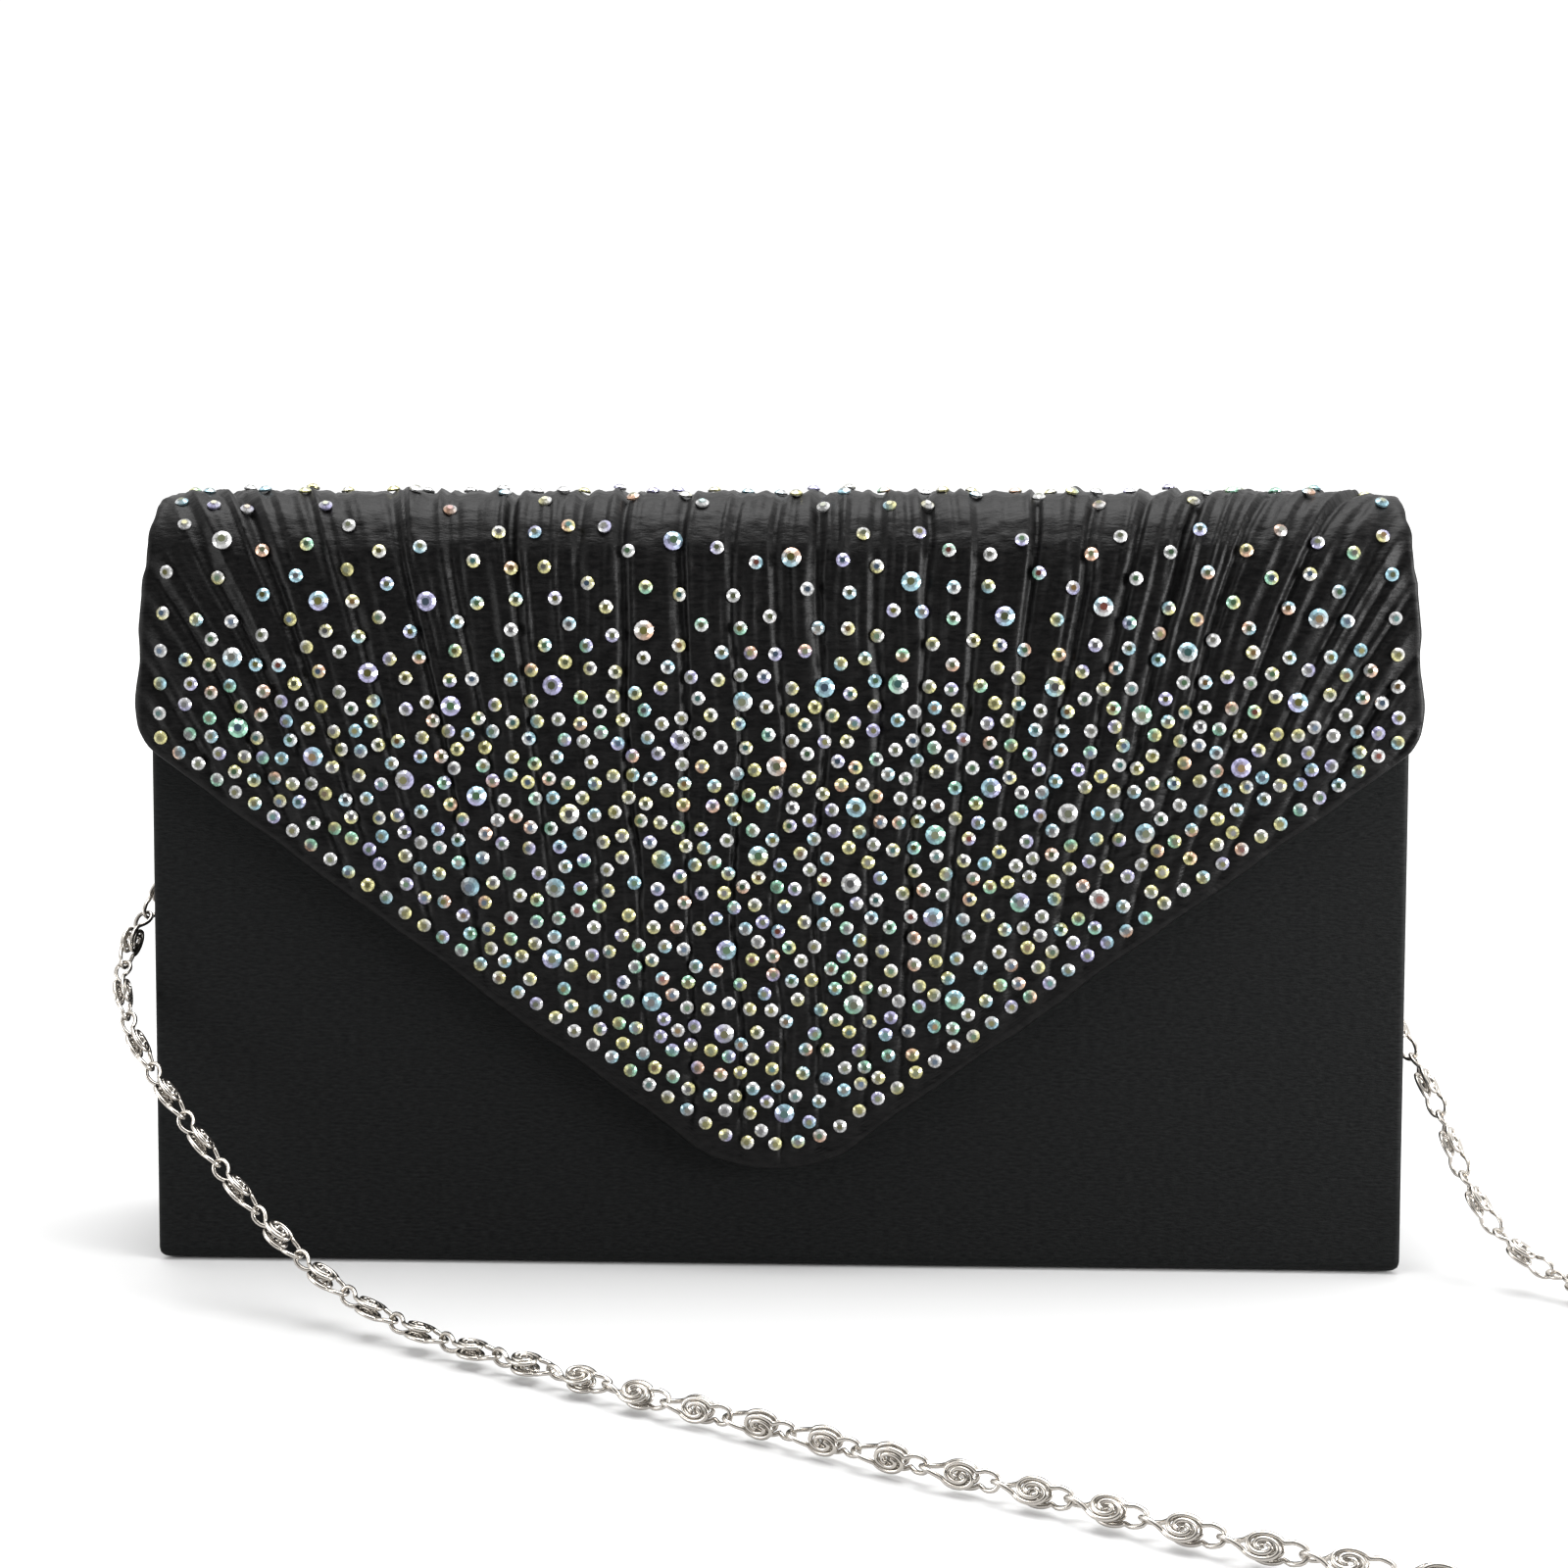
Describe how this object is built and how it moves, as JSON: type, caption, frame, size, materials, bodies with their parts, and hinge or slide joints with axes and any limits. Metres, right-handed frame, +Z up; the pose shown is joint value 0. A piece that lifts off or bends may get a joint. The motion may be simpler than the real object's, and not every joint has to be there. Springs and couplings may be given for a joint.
{
  "type": "evening bag",
  "caption": "Boxy evening clutch with a pleated, crystal-set envelope flap, folding sides, a magnetic snap and a detachable metal link chain strap.",
  "frame": {"origin": "centre of the base's underside, where the bag stands", "axes": "+X to the right seen from the front, along the bag's width; the front faces -Y; +Z up"},
  "size_m": [0.3047, 0.1766, 0.1324],
  "materials": {
    "satin": "black satin",
    "pleated_satin": "gathered black satin",
    "lining": "matt black lining",
    "board": "grey board",
    "plated_metal": "polished silver plating",
    "crystal": "faceted, foiled, with a coloured coating"
  },
  "bodies": {
    "shell": {"back_cover": "satin", "back_board": "board", "back_lining": "lining", "base_cover": "satin", "base_board": "board", "base_lining": "lining", "inner_pocket": "lining", "pocket_binding": "satin", "left_gusset": "satin", "right_gusset": "satin", "left_ring_tab": "satin", "right_ring_tab": "satin", "left_d_ring": "plated_metal", "right_d_ring": "plated_metal", "left_clasp": "plated_metal", "right_clasp": "plated_metal", "left_jump_ring": "plated_metal", "right_jump_ring": "plated_metal", "left_chain": "plated_metal", "right_chain": "plated_metal", "chain_coil": "plated_metal"},
    "front_wall": {"front_cover": "satin", "front_board": "board", "front_lining": "lining", "snap_socket": "plated_metal"},
    "spine": {"spine_cover": "pleated_satin", "spine_board": "board", "spine_lining": "lining", "spine_stones": "crystal"},
    "flap": {"flap_cover": "pleated_satin", "flap_board": "board", "flap_lining": "lining", "snap_stud": "plated_metal", "small_stones": "crystal", "large_stones": "crystal"},
    "left_lever": {"left_clasp_lever": "plated_metal"},
    "right_lever": {"right_clasp_lever": "plated_metal"}
  },
  "joints": [
    {"name": "flap_hinge", "type": "hinge", "parent": "shell", "child": "spine", "pos_m": [0, 0.01091, 0.12957], "axis": [-1, 0, 0], "range_deg": [0, 120]},
    {"name": "flap_fold", "type": "hinge", "parent": "spine", "child": "flap", "pos_m": [0, -0.01502, 0.12903], "axis": [-1, 0, 0], "range_deg": [0, 80]},
    {"name": "front_tilt", "type": "hinge", "parent": "shell", "child": "front_wall", "pos_m": [0, -0.0199, 0.0015], "axis": [1, 0, 0], "range_deg": [0, 5.3]},
    {"name": "left_lever_pivot", "type": "hinge", "parent": "shell", "child": "left_lever", "pos_m": [-0.1042, 0, 0.0997], "axis": [0, 1, 0], "range_deg": [0, 20], "stiffness_Nm_per_rad": 0.0005, "springref_deg": -17.19},
    {"name": "right_lever_pivot", "type": "hinge", "parent": "shell", "child": "right_lever", "pos_m": [0.1042, 0, 0.0997], "axis": [0, -1, 0], "range_deg": [0, 20], "stiffness_Nm_per_rad": 0.0005, "springref_deg": -17.19}
  ],
  "couplings": [
    {"joint": "front_tilt", "follows": "flap_hinge", "ratio": 0.044}
  ]
}
